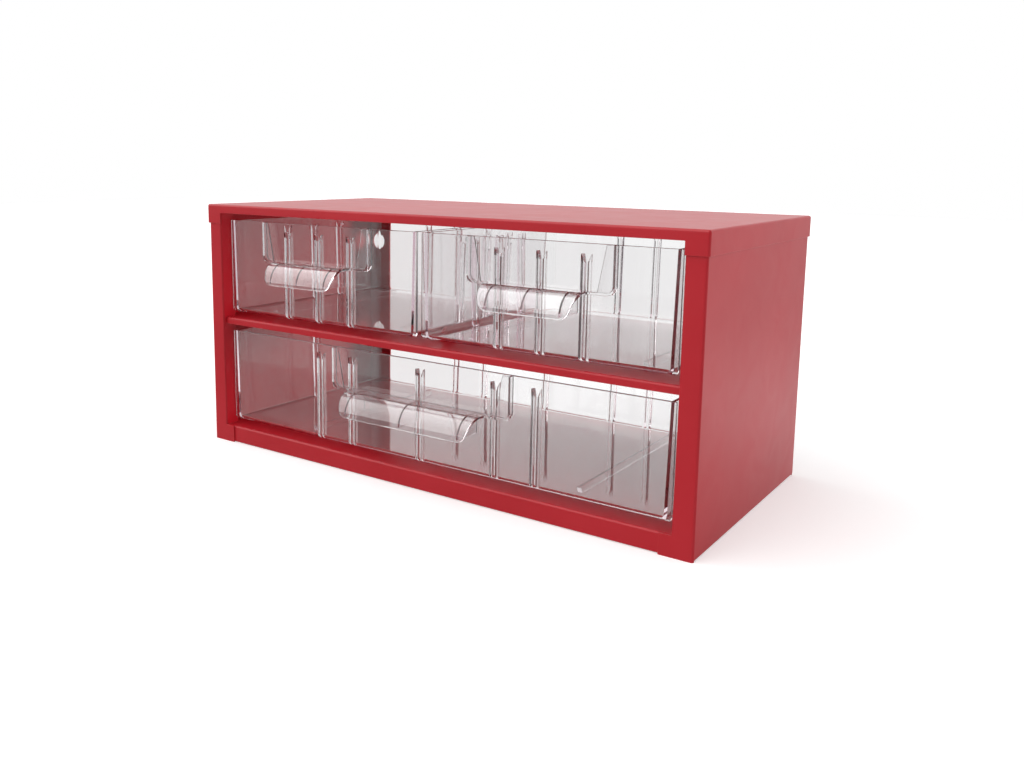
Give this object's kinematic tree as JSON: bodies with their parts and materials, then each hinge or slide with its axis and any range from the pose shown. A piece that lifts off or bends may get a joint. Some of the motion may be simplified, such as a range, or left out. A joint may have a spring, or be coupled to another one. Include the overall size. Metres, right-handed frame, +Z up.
{
  "type": "desktop drawer organizer",
  "caption": "Low sheet steel cabinet, open at the back, with clear sliding drawers that have finger pulls, label holders and divider slots.",
  "frame": {"origin": "on the surface that the cabinet stands on, under the middle of its width and of its depth, the pulls that reach out in front counted in the depth", "axes": "+X to the right as seen from the front, +Y from the front to the back, +Z up; the drawers open towards -Y"},
  "size_m": [0.306, 0.157, 0.142],
  "materials": {
    "red_enamel": "smooth satin-gloss red powder coat on sheet steel",
    "clear_plastic": "clear moulded polystyrene with glossy, slightly wavy faces"
  },
  "bodies": {
    "cabinet": {"top_cover": "red_enamel", "left_side_panel": "red_enamel", "right_side_panel": "red_enamel", "bottom_panel": "red_enamel", "middle_shelf": "red_enamel", "centre_guide": "red_enamel"},
    "upper_left": {"upper_left_drawer": "clear_plastic"},
    "upper_right": {"upper_right_drawer": "clear_plastic"},
    "lower": {"lower_drawer": "clear_plastic"}
  },
  "joints": [
    {"name": "upper_left_slide", "type": "slide", "parent": "cabinet", "child": "upper_left", "axis": [0, -1, 0], "range_m": [0, 0.11]},
    {"name": "upper_right_slide", "type": "slide", "parent": "cabinet", "child": "upper_right", "axis": [0, -1, 0], "range_m": [0, 0.11]},
    {"name": "lower_slide", "type": "slide", "parent": "cabinet", "child": "lower", "axis": [0, -1, 0], "range_m": [0, 0.11]}
  ]
}
